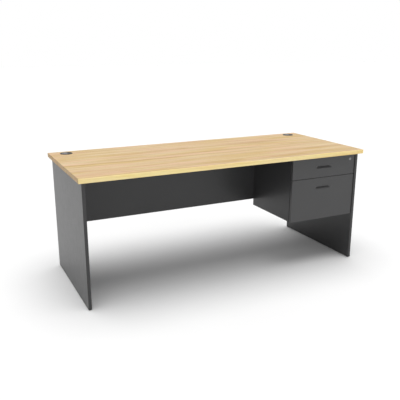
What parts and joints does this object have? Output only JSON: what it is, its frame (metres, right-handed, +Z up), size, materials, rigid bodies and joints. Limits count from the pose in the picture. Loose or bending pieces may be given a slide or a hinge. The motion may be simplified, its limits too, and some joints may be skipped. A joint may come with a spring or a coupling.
{
  "type": "teacher desk",
  "caption": "Panel-end desk with an oak-look worktop, graphite end and modesty panels, and a fixed lockable pedestal of a box drawer over a file drawer.",
  "frame": {"origin": "on the floor, below the centre of the worktop", "axes": "+X along the desk to the sitter's right, +Y from the sitter to the back, +Z up"},
  "size_m": [1.8, 0.75, 0.7289],
  "materials": {
    "oak_top": "pale straight-grained oak melamine, satin",
    "oak_edge": "oak-print ABS edge band, satin",
    "graphite_board": "graphite melamine on particle board, fine satin texture",
    "graphite_band": "graphite ABS edge band, satin",
    "drawer_board": "white melamine",
    "pull_plastic": "moulded, fine satin",
    "grommet_plastic": "moulded dark grey, low gloss",
    "shutter_plastic": "moulded dark grey, glossy",
    "glide_plastic": "moulded black",
    "runner_steel": "bright zinc plate",
    "fastener_steel": "zinc plate",
    "cam_zinc": "die-cast zinc",
    "lock_chrome": "satin nickel plate",
    "aluminium": "mill-finish extrusion",
    "dowel_beech": "fluted beech",
    "bumper_clear": "soft clear polyurethane"
  },
  "bodies": {
    "desk": {"worktop": "oak_top", "worktop_front_band": "oak_edge", "worktop_rear_band": "oak_edge", "worktop_left_band": "oak_edge", "worktop_right_band": "oak_edge", "left_end_panel": "graphite_board", "right_end_panel": "graphite_board", "end_panel_bands": "graphite_band", "modesty_panel": "graphite_board", "modesty_band": "graphite_band", "floor_glides": "glide_plastic", "cam_housings": "cam_zinc", "cam_bolts": "fastener_steel", "desk_dowels": "dowel_beech", "left_grommet_liner": "grommet_plastic", "right_grommet_liner": "grommet_plastic", "pedestal_left_side": "graphite_board", "pedestal_right_side": "graphite_board", "pedestal_bottom": "graphite_board", "pedestal_back": "graphite_board", "pedestal_front_rail": "graphite_board", "pedestal_rear_rail": "graphite_board", "pedestal_bands": "graphite_band", "pedestal_dowels": "dowel_beech", "pedestal_screws": "fastener_steel", "box_cabinet_runners": "runner_steel", "file_cabinet_runners": "runner_steel", "cabinet_runner_screws": "fastener_steel", "drawer_bumpers": "bumper_clear", "locking_bar_guides": "glide_plastic"},
    "box_drawer": {"box_drawer_front": "graphite_board", "box_drawer_left_side": "drawer_board", "box_drawer_right_side": "drawer_board", "box_drawer_back": "drawer_board", "box_drawer_base": "drawer_board", "box_drawer_pull": "pull_plastic", "box_drawer_runners": "runner_steel", "box_drawer_screws": "fastener_steel", "box_drawer_dowels": "dowel_beech", "box_drawer_catch": "fastener_steel", "lock_housing": "lock_chrome"},
    "file_drawer": {"file_drawer_front": "graphite_board", "file_drawer_left_side": "drawer_board", "file_drawer_right_side": "drawer_board", "file_drawer_back": "drawer_board", "file_drawer_base": "drawer_board", "file_drawer_pull": "pull_plastic", "file_drawer_runners": "runner_steel", "file_drawer_screws": "fastener_steel", "file_drawer_dowels": "dowel_beech", "file_drawer_catch": "fastener_steel", "file_hanging_rails": "aluminium"},
    "box_runner_mid": {"box_mid_runners": "runner_steel"},
    "file_runner_mid": {"file_mid_runners": "runner_steel"},
    "lock": {"lock_plug": "lock_chrome"},
    "lock_bar": {"locking_bar": "aluminium"},
    "left_cap": {"left_grommet_cap": "grommet_plastic"},
    "right_cap": {"right_grommet_cap": "grommet_plastic"},
    "left_shutter": {"left_grommet_shutter": "shutter_plastic"},
    "right_shutter": {"right_grommet_shutter": "shutter_plastic"}
  },
  "joints": [
    {"name": "box_drawer_slide", "type": "slide", "parent": "desk", "child": "box_drawer", "axis": [0, -1, 0], "range_m": [0, 0.35]},
    {"name": "file_drawer_slide", "type": "slide", "parent": "desk", "child": "file_drawer", "axis": [0, -1, 0], "range_m": [0, 0.35]},
    {"name": "box_mid_slide", "type": "slide", "parent": "desk", "child": "box_runner_mid", "axis": [0, -1, 0], "range_m": [0, 0.175]},
    {"name": "file_mid_slide", "type": "slide", "parent": "desk", "child": "file_runner_mid", "axis": [0, -1, 0], "range_m": [0, 0.175]},
    {"name": "lock_turn", "type": "hinge", "parent": "box_drawer", "child": "lock", "pos_m": [0.824, -0.335, 0.667], "axis": [0, 1, 0], "range_deg": [0, 90]},
    {"name": "locking_bar_lift", "type": "slide", "parent": "desk", "child": "lock_bar", "axis": [0, 0, 1], "range_m": [0, 0.00848]},
    {"name": "left_cap_lift", "type": "slide", "parent": "desk", "child": "left_cap", "axis": [0, 0, 1], "range_m": [0, 0.03]},
    {"name": "right_cap_lift", "type": "slide", "parent": "desk", "child": "right_cap", "axis": [0, 0, 1], "range_m": [0, 0.03]},
    {"name": "left_shutter_turn", "type": "hinge", "parent": "left_cap", "child": "left_shutter", "pos_m": [-0.802, 0.306, 0.727], "axis": [0, 0, 1], "range_deg": [0, 180]},
    {"name": "right_shutter_turn", "type": "hinge", "parent": "right_cap", "child": "right_shutter", "pos_m": [0.802, 0.306, 0.727], "axis": [0, 0, 1], "range_deg": [0, 180]}
  ],
  "couplings": [
    {"joint": "box_mid_slide", "follows": "box_drawer_slide", "ratio": 0.5},
    {"joint": "file_mid_slide", "follows": "file_drawer_slide", "ratio": 0.5},
    {"joint": "lock_turn", "follows": "locking_bar_lift", "rad_per_m": 185.13}
  ]
}
